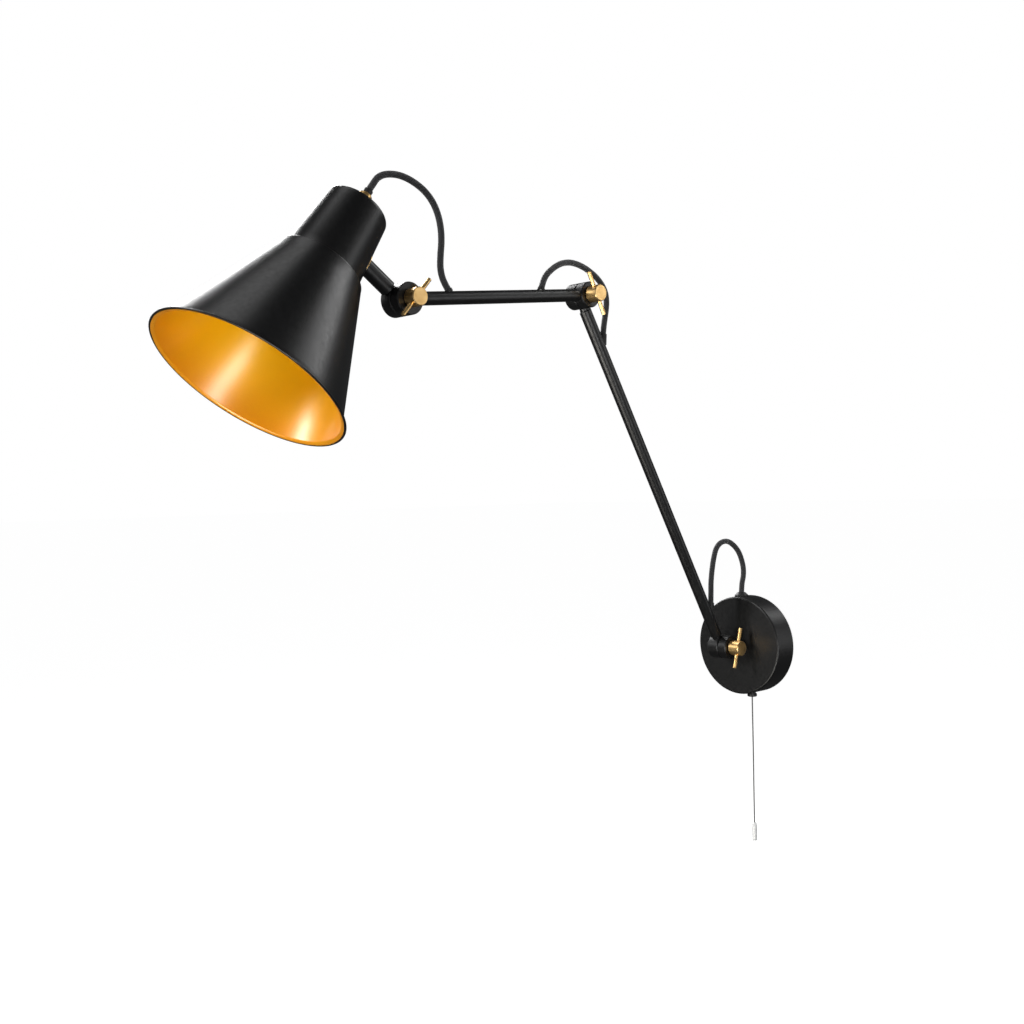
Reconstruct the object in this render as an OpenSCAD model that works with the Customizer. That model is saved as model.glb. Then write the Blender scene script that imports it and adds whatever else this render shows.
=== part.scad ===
// Wall lamp with two arms, three clamped knuckles, a spun cone shade and a pull cord switch.
// Origin: centre of the wall box's back face. +X right, +Y into the wall, +Z up. Millimetres.

/* [Wall box] */
// Outside diameter of the wall box
box_d = 107; // [104:1:112]
// How far the wall box stands off the wall
box_depth = 27.5; // [27:0.5:30]
// Sheet thickness of the wall box
box_wall = 1.5; // [1:0.1:2]
// Distance between the two wall fixing slots
fixing_spacing = 66; // [50:1:70]

/* [Arms] */
// Distance from the wall to the base pivot
pivot_out = 45; // [44:0.5:60]
// Lower arm, pivot to pivot
lower_len = 420; // [300:5:450]
// Upper arm, pivot to pivot
upper_len = 220; // [200:5:300]
// Lean of the lower arm from upright
lower_lean = 30; // [15:1:45]
// Drop of the upper arm below level
upper_drop = 6; // [0:1:20]
// Outside diameter of the arm tubes
tube_d = 12; // [11:0.5:13]
// Wall of the arm tubes
tube_wall = 1; // [0.8:0.1:1.2]

/* [Knuckles] */
// Diameter of a knuckle
knuckle_d = 25; // [22:0.5:27]
// Diameter of the knuckle at the head
head_knuckle_d = 28; // [25:0.5:28]
// Width of a knuckle's right half
half_w = 10.2; // [9.8:0.1:11]
// Width of a knuckle's left half
left_half_w = 13.5; // [10:0.5:14]
// Side step from one arm to the next
arm_step = 10; // [9.8:0.1:11]
// Diameter of the clamp screw's shank
shank_d = 6; // [5:0.5:7]
// Diameter of the brass knob
knob_d = 16; // [14:0.5:18]
// Length of the brass knob
knob_len = 13.2; // [12:0.1:16]
// Length of the cross bar through the knob
bar_len = 44; // [36:1:50]
// Diameter of the cross bar
bar_d = 4; // [3:0.5:5]

/* [Head] */
// Outside diameter of the stub tube
stub_d = 14.5; // [12:0.5:15]
// Angle of the stub tube above level
stub_rise = 36; // [30:1:45]
// Distance from the head pivot to the shade's axis
shade_reach = 76; // [74:1:80]
// Diameter of the shade's mouth
mouth_d = 170; // [150:1:180]
// Height of the shade's cone
cone_h = 116; // [100:1:125]
// Diameter at the top of the cone
cone_top_d = 77; // [74:1:80]
// Width of the lip that flares out at the mouth
lip_w = 4.6; // [3:0.1:6]
// Diameter of the neck at the shoulder
neck_d = 68.4; // [67:0.2:70]
// Diameter of the neck at the cap
neck_top_d = 56; // [54:0.5:58]
// Height of the neck
neck_h = 66; // [64:1:70]
// Round-over at the top of the neck
neck_round = 4.5; // [3:0.5:6]
// Height of the stub tube above the shoulder
stub_above_shoulder = 32; // [30:1:34]

/* [Flex and cord] */
// Diameter of the braided flex
flex_d = 5.8; // [5:0.1:6]
// Diameter of the pull cord
pull_d = 1.4; // [1:0.1:1.8]
// Travel of the pull switch
pull_travel = 6; // [4:0.5:6]

/* [Hidden] */
$fn = 64;
run_gap = 0.05; // radial running clearance of a pin in its bore
gap = 0.3; // space between pieces that turn on each other

box_r = box_d / 2;
plate_t = 1.5; // back plate
plate_r = 48;
tube_r = tube_d / 2;
tube_in_r = tube_r - tube_wall;
knuckle_r = knuckle_d / 2;
tube_from = knuckle_r + 2; // a tube starts this far from its pivot
shank_r = shank_d / 2;
head_knuckle_r = head_knuckle_d / 2;
stub_r = stub_d / 2;
flex_r = flex_d / 2;
stop_angle = 61; // swing stops, either side of upright
mid_gap = gap; // half of the space between the two halves of a knuckle
right_x = [-arm_step / 2 + mid_gap, -arm_step / 2 + mid_gap + half_w];
left_x = [-arm_step / 2 - mid_gap - left_half_w, -arm_step / 2 - mid_gap];
knob_x = right_x[1] + gap;
bar_from_end = 6;

// joint centres, in the right half's plane x = 0
base_pivot = [0, -pivot_out, 0];
lower_dir = [0, -sin(lower_lean), cos(lower_lean)];
elbow_pivot = base_pivot + lower_len * lower_dir;
upper_dir = [0, -cos(upper_drop), -sin(upper_drop)];
head_pivot = elbow_pivot + upper_len * upper_dir;
left_step = [-arm_step, 0, 0];

// the shade's own axis, in the head's frame: +Z runs out along the stub tube, +Y up to the cap
shoulder_y = -stub_above_shoulder;
mouth_y = shoulder_y - cone_h;
cap_y = shoulder_y + neck_h;
neck_r = neck_d / 2;
neck_top_r = neck_top_d / 2;
neck_taper = atan((neck_r - neck_top_r) / neck_h);
neck_wall = 1.2;
shade_wall = 1.2;

// flex entries into the arms: place along the arm, angle from the arm, length out from its axis
lower_entry_low = [34, 34, 20];
lower_entry_high = [357.5, 34, 20];
upper_entry_back = [64.5, 120, 8.5];
upper_entry_front = [169.5, 60, 8.5];
entry_r = 3.6;
entry_bore_r = flex_r + 0.1;
entry_from = 5; // a sleeve starts this far from the arm's axis, measured square to it
flex_break = 0.8; // space left between the end of a loop and the length that carries on inside

screw_y = -7; // the cover's fixing screw, in the box's side
gland_x = -4;
gland_y = -13.75;
gland_top = 57.5;
collar_h = 15; // brass collar on the cap
relief_h = 5.8; // rubber sleeve above the collar
pull_x = 8;
pull_y = -13.75;
toggle_top = -197;
toggle_len = 20;

// free routes of the flex, chosen by hand
base_route = [[-4, -13.75, 57.2], [-4, -12.5, 67], [-3.5, -10.5, 76], [-3.5, -10.5, 85], [-4, -13, 94.5],
    [-4.5, -18, 103.5], [-5.5, -26, 111], [-6.5, -35.5, 115], [-7.5, -45, 113.5], [-8.5, -51.5, 107.5],
    [-9, -55.5, 97], [-9.5, -58, 85], [-10, -59.5, 72], [-10, -60.1, 60], [-10, -60.6, 49.4]];
base_route_split = 7; // the apex: above it the flex turns with the stem
elbow_route = [[-10, -222.4, 329.6], [-10.2, -221, 337], [-10.5, -219, 345], [-10.8, -216.8, 353.5],
    [-11, -215.6, 362], [-10.7, -217.3, 370.5], [-9.9, -223, 378], [-8.8, -231.5, 384], [-7.4, -241, 388],
    [-6, -251.5, 391.3], [-4, -265, 393.3], [-2.4, -277.5, 393], [-1, -290, 389.8], [-0.3, -301.5, 383.5],
    [0, -310.5, 375.5], [0, -315.7, 364.8]];
head_route = [[0, -428.6, 352.9], [-0.5, -433.6, 361.5], [-1, -435.6, 371], [-1.2, -435, 382],
    [-1.2, -433.8, 393], [-1.4, -433.8, 404], [-1.7, -436, 415.5], [-2.2, -440.8, 426], [-3, -448, 434.3],
    [-4, -457, 440.3], [-5.2, -467.5, 444.5], [-6.5, -477.5, 446], [-7.8, -487.5, 444.8],
    [-8.9, -494.6, 441.1], [-9.8, -499.4, 434.8], [-10, -503.4, 429.4]];
pull_route = [[8, -13.75, -52], [8, -13.75, -70], [8.1, -13.75, -95], [8.2, -13.8, -120],
    [8.1, -13.8, -145], [8, -13.75, -170], [8, -13.75, -197]];

black = [0.07, 0.07, 0.075];
brass = [0.80, 0.62, 0.30];
steel = [0.70, 0.71, 0.73];
plastic = [0.10, 0.10, 0.11];
ivory = [0.86, 0.85, 0.80];
braid = [0.14, 0.14, 0.15];

// ---- frames -------------------------------------------------------------------------------

module at_base() { translate(base_pivot) children(); }
module at_elbow() { translate(elbow_pivot) children(); }
module at_head() { translate(head_pivot) children(); }
module lower_frame() { translate(base_pivot + left_step) rotate([lower_lean, 0, 0]) children(); }
module upper_frame() { translate(elbow_pivot) rotate([90 + upper_drop, 0, 0]) children(); }
module head_frame() { translate(head_pivot + left_step) rotate([90 - stub_rise, 0, 0]) children(); }
// the shade's axis as +Z, cap upward, with its zero where the stub tube's axis crosses it
module shade_frame() { head_frame() translate([0, 0, shade_reach]) rotate([-90, 0, 0]) children(); }

// ---- shapes used more than once -----------------------------------------------------------

// round bar or ring along Z with chamfered ends
module turned(r, h, bore = 0, chamfer = 0.6) {
    rotate_extrude()
        polygon([[bore, 0], [r - chamfer, 0], [r, chamfer], [r, h - chamfer], [r - chamfer, h], [bore, h]]);
}

// the same along +X from x0 to x1
module turned_x(r, x0, x1, bore = 0, chamfer = 0.6) {
    translate([x0, 0, 0]) rotate([0, 90, 0]) turned(r, x1 - x0, bore, chamfer);
}

// one half of a knuckle with the neck and spigot that carry a tube along +Z
module knuckle_half(span, tube_x, r = knuckle_r) {
    spigot_len = 14;
    difference() {
        union() {
            turned_x(r, span[0], span[1], 0, 0.8);
            translate([tube_x, 0, 0]) cylinder(r = arm_step / 2 - mid_gap, h = tube_from);
            translate([tube_x, 0, tube_from]) cylinder(r = tube_in_r - run_gap, h = spigot_len);
        }
        translate([span[0] - 1, 0, 0]) rotate([0, 90, 0])
            cylinder(r = shank_r + run_gap, h = span[1] - span[0] + 2);
    }
}

// an arm tube along +Z between two pivots, with a slanted hole for each flex entry
module arm_tube(len, entries) {
    difference() {
        translate([0, 0, tube_from]) difference() {
            turned(tube_r, len - 2 * tube_from, 0, 0.7);
            translate([0, 0, -1]) cylinder(r = tube_in_r, h = len);
        }
        for (e = entries) entry_frame(e) translate([0, 0, 2]) cylinder(r = entry_r + 0.05, h = 20);
    }
}

// frame of a flex entry: +Z points out of the arm, on the arm's upper or wall side
module entry_frame(e) {
    translate([0, 0, e[0]]) rotate([-e[1], 0, 0]) children();
}

module entry_sleeves(entries) {
    for (e = entries) entry_frame(e) difference() {
        inner = entry_from / sin(e[1]);
        translate([0, 0, inner]) turned(entry_r, e[2] - inner, 0, 0.3);
        cylinder(r = entry_bore_r, h = e[2] + 1);
    }
}

// a ring between the two halves, fixed to the left one
module friction_washer() {
    turned_x(knuckle_r - 1.5, left_x[1], left_x[1] + gap, shank_r + run_gap, 0.05);
}

module clamp_screw() {
    shank_from = left_x[0] + 1;
    difference() {
        union() {
            turned_x(shank_r, shank_from, knob_x + 1, 0, 0.5);
            turned_x(knob_d / 2, knob_x, knob_x + knob_len, 0, 0.7);
        }
        translate([knob_x + knob_len - bar_from_end, 0, -knob_d])
            cylinder(r = bar_d / 2 + 0.02, h = 2 * knob_d);
    }
}

module tommy_bar() {
    translate([knob_x + knob_len - bar_from_end, 0, -bar_len / 2]) turned(bar_d / 2, bar_len, 0, 0.4);
}

// ---- sweeping a round flex along a route --------------------------------------------------

function spline(a, b, c, d, t) =
    0.5 * (2 * b + (c - a) * t + (2 * a - 5 * b + 4 * c - d) * t * t + (3 * b - a - 3 * c + d) * t * t * t);
function smooth(p, n) = concat(
    [for (i = [0:len(p) - 2]) for (k = [0:n - 1])
        spline(p[max(i - 1, 0)], p[i], p[i + 1], p[min(i + 2, len(p) - 1)], k / n)],
    [p[len(p) - 1]]);
function unit(v) = v / norm(v);
function tangent(p, i) = unit(p[min(i + 1, len(p) - 1)] - p[max(i - 1, 0)]);
function side_of(t) = unit([1, 0, 0] - t[0] * t);
function ring(p, i, r, n) = let (t = tangent(p, i), a = side_of(t), b = cross(t, a))
    [for (k = [0:n - 1]) p[i] + r * (cos(360 * k / n) * a + sin(360 * k / n) * b)];

// sweeps rings first to last of route p
module sweep(p, r, n, first, last) {
    rings = last - first + 1;
    points = [for (i = [first:last]) each ring(p, i, r, n)];
    sides = [for (i = [0:rings - 2]) for (k = [0:n - 1])
        [i * n + k, i * n + (k + 1) % n, (i + 1) * n + (k + 1) % n, (i + 1) * n + k]];
    ends = [[for (k = [0:n - 1]) n - 1 - k], [for (k = [0:n - 1]) (rings - 1) * n + k]];
    polyhedron(points, concat([for (f = sides) [f[3], f[2], f[1], f[0]]],
        [for (f = ends) [for (k = [0:n - 1]) f[n - 1 - k]]]), convexity = 4);
}

// the neck's radius at height z on the shade's axis
function neck_at(z) = neck_top_r + tan(neck_taper) * (cap_y - z);

// point on a flex entry's axis, d out from the arm's axis, in the arm's frame
function entry_point(e, d) = [0, sin(e[1]) * d, e[0] + cos(e[1]) * d];

// ---- wall box -----------------------------------------------------------------------------

module wall_plate() {
    ear_x = box_r - box_wall - 2.2;
    slot_w = 5;
    slot_len = 12;
    color(steel) difference() {
        union() {
            rotate([90, 0, 0]) cylinder(r = plate_r, h = plate_t);
            for (s = [-1, 1]) {
                translate([s * ear_x - 0.75, -11, -7]) cube([1.5, 11, 14]);
                translate([min(s * ear_x, s * (ear_x - 6)), -plate_t, -7]) cube([6, plate_t, 14]);
            }
        }
        for (s = [-1, 1]) {
            for (e = [-1, 1]) translate([s * fixing_spacing / 2 + e * (slot_len - slot_w) / 2, 1, 0])
                rotate([90, 0, 0]) cylinder(d = slot_w, h = 4);
            translate([s * fixing_spacing / 2 - (slot_len - slot_w) / 2, -3, -slot_w / 2])
                cube([slot_len - slot_w, 4, slot_w]);
        }
        translate([-ear_x - 3, screw_y, 0]) rotate([0, 90, 0]) cylinder(r = 1.9, h = 6);
        translate([16, 1, 22]) rotate([90, 0, 0]) cylinder(r = 6.5, h = 4);
        translate([-22, 1, 22]) rotate([90, 0, 0]) cylinder(r = 2, h = 4);
    }
}

module wall_cover() {
    edge_r = 2;
    inner_r = box_r - box_wall;
    color(black) difference() {
        rotate([90, 0, 0]) rotate_extrude($fn = 96) polygon(concat(
            [[inner_r, 0], [box_r, 0]],
            [for (a = [0:15:90]) [box_r - edge_r + edge_r * cos(a), box_depth - edge_r + edge_r * sin(a)]],
            [[0, box_depth], [0, box_depth - box_wall], [inner_r, box_depth - box_wall]]));
        translate([0, -box_depth + box_wall + 1, 0]) rotate([90, 0, 0]) cylinder(r = 7, h = 4);
        translate([gland_x, gland_y, 40]) cylinder(r = 4.5, h = 20);
        translate([pull_x, pull_y, -60]) cylinder(r = 4.1, h = 20);
        translate([-box_r - 1.5, screw_y, 0]) rotate([0, 90, 0]) cylinder(r = 2.2, h = 6);
        for (a = [-stop_angle, stop_angle])
            rotate([0, a, 0]) translate([0, -box_depth + box_wall + 1, 11.5])
                rotate([90, 0, 0]) cylinder(r = 1.25, h = 1.6);
    }
}

module cover_screw() {
    screw_len = 4;
    color(black) translate([-box_r + 0.5, screw_y, 0]) difference() {
        rotate([0, 90, 0]) turned(1.85, screw_len, 0, 0.3);
        translate([-1, 0, 0]) rotate([0, 90, 0]) cylinder(r = 1, h = 2.5, $fn = 6);
    }
}

module supply_grommet() {
    color(plastic) translate([16, 0, 22]) rotate([90, 0, 0]) rotate_extrude()
        polygon([[4.5, 0.05], [6.45, 0.05], [6.45, 1.6], [8.5, 1.6], [8.5, 3.2], [7.9, 4], [4.5, 4]]);
}

module terminal_block() {
    color(ivory) difference() {
        translate([-34, -14, -27]) cube([27, 11, 16]);
        for (i = [0:2]) translate([-29.5 + 9 * i, -7, -28]) cylinder(r = 1.8, h = 18);
        for (i = [0:2]) for (k = [0, 1]) translate([-29.5 + 9 * i, -8, -23 + 8 * k]) rotate([90, 0, 0])
            cylinder(r = 1.75, h = 7);
        for (i = [0:1]) translate([-25.7 + 9 * i, -15, -28]) cube([1.4, 6, 18]);
    }
}

module terminal_screws() {
    color(brass) for (i = [0:2]) for (k = [0, 1]) translate([-29.5 + 9 * i, -9, -23 + 8 * k])
        rotate([90, 0, 0]) difference() {
            cylinder(r = 1.7, h = 4);
            translate([-2, -0.3, 3.2]) cube([4, 0.6, 1]);
        }
}

module earth_stud() {
    color(steel) translate([-22, -0.1, 22]) rotate([90, 0, 0]) turned(1.98, 9, 0, 0.4);
}

module earth_nut() {
    color(brass) translate([-22, -plate_t, 22]) rotate([90, 0, 0]) difference() {
        union() {
            cylinder(r = 4.5, h = 0.8);
            translate([0, 0, 0.8]) cylinder(r = 4, h = 3.2, $fn = 6);
        }
        translate([0, 0, -1]) cylinder(r = 2, h = 6);
    }
}

module flex_gland() {
    color(plastic) translate([gland_x, gland_y, 0]) difference() {
        union() {
            translate([0, 0, 44.5]) cylinder(r = 4.4, h = 9.5);
            translate([0, 0, 44.5]) cylinder(r = 6.5, h = 3);
            difference() {
                rotate_extrude()
                    polygon([[0, 50], [7.5, 50], [7.5, 54.5], [6.6, 55.3], [4.2, gland_top], [0, gland_top]]);
                translate([-gland_x, 20, 0]) rotate([90, 0, 0]) cylinder(r = box_r + 0.02, h = 40);
            }
        }
        translate([0, 0, 40]) cylinder(r = entry_bore_r, h = 20);
    }
}

module flex_in_box() {
    route = smooth([[-4, -13.75, 56.4], [-4, -13.75, 50], [-4, -13.75, 44.2], [-4, -13.75, 41],
        [-6, -15, 36], [-12, -17, 29], [-19, -18, 20], [-24, -18, 9], [-25.8, -15, -1],
        [-24.8, -11.8, -5.5], [-24.2, -10.6, -8.6]], 2);
    color(braid) sweep(route, flex_r, 10, 0, len(route) - 1);
}

module stem_bush() {
    color(brass) translate([0, -box_depth + 4.5, 0]) rotate([90, 0, 0]) rotate_extrude()
        polygon([[5 + run_gap, 0], [8.8, 0], [8.8, 3], [6.95, 3], [6.95, 4.5], [5 + run_gap, 4.5]]);
}

module stop_pins() {
    color(steel) for (a = [-stop_angle, stop_angle]) rotate([0, a, 0])
        translate([0, -box_depth + box_wall + 5, 11.5]) rotate([90, 0, 0]) cylinder(r = 1.23, h = 5.4);
}

// ---- pull switch --------------------------------------------------------------------------

module switch_body() {
    color(plastic) translate([pull_x, pull_y, 0]) difference() {
        union() {
            translate([-11, -8, -47.5]) cube([22, 16, 23.5]);
            translate([0, 0, -56]) cylinder(r = 4, h = 9);
        }
        translate([0, 0, -46]) cylinder(r = 4, h = 19);
        translate([0, 0, -57]) cylinder(r = 1.4, h = 12);
        translate([5.5, -9, -30]) cube([3.5, 18, 3]);
    }
}

module switch_nut() {
    color(plastic) translate([pull_x, pull_y, 0]) difference() {
        translate([0, 0, -57]) turned(5.2, 3.4, 0, 0.6);
        translate([0, 0, -58]) cylinder(r = 4.05, h = 6);
    }
}

module switch_spring() {
    turns = 5;
    steps = 12;
    route = [for (i = [0:turns * steps]) [2.7 * cos(360 * i / steps), 2.7 * sin(360 * i / steps),
        -45.5 + 9 * i / (turns * steps)]];
    points = [for (p = route) let (o = [p[0], p[1], 0] / 2.7)
        each [for (k = [0:7]) p + 0.35 * (cos(45 * k) * o + sin(45 * k) * [0, 0, 1])]];
    count = len(route);
    faces = concat([for (i = [0:count - 2]) for (k = [0:7])
        [i * 8 + k, (i + 1) * 8 + k, (i + 1) * 8 + (k + 1) % 8, i * 8 + (k + 1) % 8]],
        [[for (k = [0:7]) k], [for (k = [0:7]) (count - 1) * 8 + 7 - k]]);
    color(steel) translate([pull_x, pull_y, 0]) polyhedron(points, [for (f = faces)
        [for (k = [0:len(f) - 1]) f[len(f) - 1 - k]]], convexity = 10);
}

module switch_plunger() {
    color(ivory) translate([pull_x, pull_y, 0]) {
        translate([0, 0, -36]) turned(3.8, 4, 0, 0.4);
        translate([0, 0, -52]) cylinder(r = 1.35, h = 17);
    }
}

module pull_cord() {
    route = smooth(pull_route, 3);
    color(steel) sweep(route, pull_d / 2, 8, 0, len(route) - 1);
}

module pull_toggle() {
    color(ivory) translate([pull_x, pull_y, toggle_top - toggle_len]) rotate_extrude()
        polygon([[0, 0], [2, 0], [2.7, 0.8], [2.7, 15], [1.9, 18.5], [1.2, toggle_len], [0, toggle_len]]);
}

// ---- stem and base knuckle ----------------------------------------------------------------

module base_stem() {
    color(black) translate([0, -17, 0]) rotate([90, 0, 0]) {
        cylinder(r = 5, h = 12);
        cylinder(r = 3.5, h = 21);
        translate([0, 0, box_depth + gap - 17]) turned(9, 3.2, 0, 0.6);
    }
}

module stem_tab_washer() {
    color(steel) translate([0, -box_depth + 5.9, 0]) rotate([90, 0, 0]) difference() {
        union() {
            cylinder(r = 8.5, h = 1);
            intersection() {
                cylinder(r = 13, h = 1);
                linear_extrude(1) polygon([[0, 0], [13 * sin(8), 13], [-13 * sin(8), 13]]);
            }
        }
        translate([0, 0, -1]) cylinder(r = 5.02, h = 3);
    }
}

module stem_spring_washer() {
    color(steel) translate([0, -box_depth + 6.9, 0]) rotate([90, 0, 0]) rotate_extrude()
        polygon([[5.05, 0], [8, 0], [8, 0.6], [6.5, 1], [5.05, 1]]);
}

module stem_nut() {
    color(steel) translate([0, -17.2, 0]) rotate([90, 0, 0]) difference() {
        cylinder(r = 9, h = 3.4, $fn = 6);
        translate([0, 0, -1]) cylinder(r = 5.02, h = 6);
    }
}

module base_knuckle() {
    boss_end = box_depth + gap + 3.2;
    color(black) at_base() difference() {
        union() {
            turned_x(knuckle_r, right_x[0], right_x[1], 0, 0.8);
            rotate([-90, 0, 0]) cylinder(r = arm_step / 2 - mid_gap, h = pivot_out - boss_end);
            translate([0, knuckle_r + 0.3, 0]) rotate([-90, 0, 0])
                cylinder(r = 7, h = pivot_out - boss_end - knuckle_r - 0.3);
        }
        translate([right_x[0] - 1, 0, 0]) rotate([0, 90, 0]) cylinder(r = shank_r + run_gap, h = half_w + 2);
        translate([0, pivot_out - 38.05, 0]) rotate([-90, 0, 0]) cylinder(r = 3.52, h = 20);
    }
}

// ---- flex loops ---------------------------------------------------------------------------

base_line = smooth(base_route, 2);
elbow_line = smooth(elbow_route, 2);
head_line = smooth(head_route, 2);

module base_flex_loop_inner() { color(braid) sweep(base_line, flex_r, 10, 0, 2 * base_route_split); }
module base_flex_loop_outer() {
    color(braid) sweep(base_line, flex_r, 10, 2 * base_route_split, len(base_line) - 1);
}
module elbow_flex_loop() { color(braid) sweep(elbow_line, flex_r, 10, 0, len(elbow_line) - 1); }
module head_flex_loop() { color(braid) sweep(head_line, flex_r, 10, 0, len(head_line) - 1); }

// ---- lower arm ----------------------------------------------------------------------------

// inside an arm the flex's own cores run on without their braid
core_r = 1.7;
lower_cores = [entry_point(lower_entry_low, lower_entry_low[2] - flex_break),
    entry_point(lower_entry_low, 13), entry_point(lower_entry_low, 7),
    [0, 1.9, 36.6], [0, 0.2, 35.2], [0, -1.5, 35.4], [0, -2.6, 37.2], [0, -2.8, 40.5],
    [0, -2, 52], [0, 0, 80], [0, 0, 200], [0, 0, 325], [0, 0.4, 346], [0, 1.8, 357],
    entry_point(lower_entry_high, 7), entry_point(lower_entry_high, 13),
    entry_point(lower_entry_high, lower_entry_high[2] - flex_break)];
upper_cores = [entry_point(upper_entry_back, upper_entry_back[2] - flex_break),
    entry_point(upper_entry_back, 5),
    [0, 1.4, 65.2], [0, -0.6, 68.5], [0, -1, 75], [0, 0, 95], [0, 0, 140], [0, -1, 159], [0, -0.6, 165.5],
    [0, 1.4, 168.8], entry_point(upper_entry_front, 5),
    entry_point(upper_entry_front, upper_entry_front[2] - flex_break)];

module lower_arm_base_end() {
    color(black) at_base() rotate([lower_lean, 0, 0]) knuckle_half(left_x, -arm_step);
}
module base_friction_washer() { color(plastic) at_base() friction_washer(); }
module lower_arm_tube() {
    color(black) lower_frame() arm_tube(lower_len, [lower_entry_low, lower_entry_high]);
}
module lower_arm_sleeves() {
    color(plastic) lower_frame() entry_sleeves([lower_entry_low, lower_entry_high]);
}
module cores_in_lower_arm() {
    route = smooth(lower_cores, 2);
    color(ivory) lower_frame() sweep(route, core_r, 8, 0, len(route) - 1);
}
module lower_arm_elbow_end() {
    color(black) at_elbow() rotate([lower_lean + 180, 0, 0]) knuckle_half(left_x, -arm_step);
}
module elbow_friction_washer() { color(plastic) at_elbow() friction_washer(); }

// ---- upper arm ----------------------------------------------------------------------------

module upper_arm_elbow_end() {
    color(black) at_elbow() rotate([90 + upper_drop, 0, 0]) knuckle_half(right_x, 0);
}
module upper_arm_tube() {
    color(black) upper_frame() arm_tube(upper_len, [upper_entry_back, upper_entry_front]);
}
module upper_arm_sleeves() {
    color(plastic) upper_frame() entry_sleeves([upper_entry_back, upper_entry_front]);
}
module cores_in_upper_arm() {
    route = smooth(upper_cores, 2);
    color(ivory) upper_frame() sweep(route, core_r, 8, 0, len(route) - 1);
}
module upper_arm_head_end() {
    color(black) at_head() rotate([270 + upper_drop, 0, 0]) knuckle_half(right_x, 0, head_knuckle_r);
}

// ---- head ---------------------------------------------------------------------------------

stub_end = shade_reach - 22;
washer_r = 10.5;
washer_t = 0.8;
lock_nut_at = shade_reach - neck_at(0) + neck_wall + 2.3; // clear of the neck's inner curve

module head_friction_washer() { color(plastic) at_head() friction_washer(); }
module head_knuckle() {
    color(black) at_head() rotate([90 - stub_rise, 0, 0]) knuckle_half(left_x, -arm_step, head_knuckle_r);
}
module stub_tube() {
    color(black) head_frame() translate([0, 0, tube_from]) difference() {
        turned(stub_r, stub_end - tube_from, 0, 0.7);
        translate([0, 0, -1]) cylinder(r = tube_in_r, h = stub_end);
    }
}
// the part of the neck's cone around the stub, grown outward
module neck_band(out) {
    translate([0, 0, -washer_r - 3])
        cylinder(r1 = neck_at(-washer_r - 3) + out, r2 = neck_at(washer_r + 3) + out, h = 2 * washer_r + 6);
}
module stub_saddle_washer() {
    color(brass) shade_frame() difference() {
        intersection() {
            neck_band(washer_t + 0.02);
            rotate([-90, 0, 0]) cylinder(r = washer_r, h = neck_r + 5);
        }
        neck_band(0.02);
        rotate([-90, 0, 0]) cylinder(r = stub_r + 0.02, h = neck_r + 5);
    }
}
module stub_lock_nut() {
    color(steel) head_frame() translate([0, 0, lock_nut_at]) difference() {
        cylinder(r = 10.5, h = 3.2, $fn = 6);
        translate([0, 0, -1]) cylinder(r = stub_r + 0.02, h = 6);
    }
}

module shade_neck() {
    in_r = neck_round - neck_wall;
    round_y = cap_y - neck_round;
    round_x = neck_at(round_y + neck_round * sin(neck_taper)) - neck_round * cos(neck_taper);
    turn = [for (i = [0:6]) neck_taper + (90 - neck_taper) * i / 6];
    color(black) shade_frame() difference() {
        rotate_extrude($fn = 96) polygon(concat(
            [[neck_r, shoulder_y]],
            [for (a = turn) [round_x + neck_round * cos(a), round_y + neck_round * sin(a)]],
            [[5.1, cap_y], [5.1, cap_y - neck_wall]],
            [for (i = [6:-1:0]) [round_x + in_r * cos(turn[i]), round_y + in_r * sin(turn[i])]],
            [[neck_r - neck_wall / cos(neck_taper), shoulder_y]]));
        rotate([-90, 0, 0]) cylinder(r = stub_r + 0.1, h = neck_r + 5);
    }
}

module shade_cone() {
    top_r = cone_top_d / 2;
    rim_r = mouth_d / 2;
    bead = 0.7;
    lip_h = 2.2;
    stand_h = 7;
    stand_in = neck_wall / cos(neck_taper) + 0.1;
    lip_turn = [0:15:90];
    color(black) shade_frame() union() {
        rotate_extrude($fn = 96) polygon(concat(
            [[neck_at(shoulder_y + stand_h) - stand_in, shoulder_y + stand_h],
                [neck_r - stand_in, shoulder_y], [top_r - 1.3, shoulder_y],
                [top_r - 0.3, shoulder_y - 0.4], [top_r, shoulder_y - 1.3]],
            [for (a = lip_turn) [rim_r - bead - (lip_w - bead) * cos(a),
                mouth_y + 2 * bead + lip_h * (1 - sin(a))]],
            [for (i = [90:-15:0]) [rim_r - bead - lip_w * cos(i), mouth_y + lip_h * (1 - sin(i))]],
            [[top_r - 1.4, shoulder_y - 2.2], [top_r - 2.4, shoulder_y - shade_wall],
                [neck_r - stand_in - shade_wall, shoulder_y - shade_wall],
                [neck_at(shoulder_y + stand_h) - stand_in - shade_wall, shoulder_y + stand_h]]));
        rotate_extrude($fn = 96) translate([rim_r - bead, mouth_y + bead]) circle(r = bead, $fn = 24);
    }
}

// ---- lampholder, in the shade's frame -----------------------------------------------------

holder_r = 19;
socket_r = 13.4;
contact_r = 11;

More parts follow.
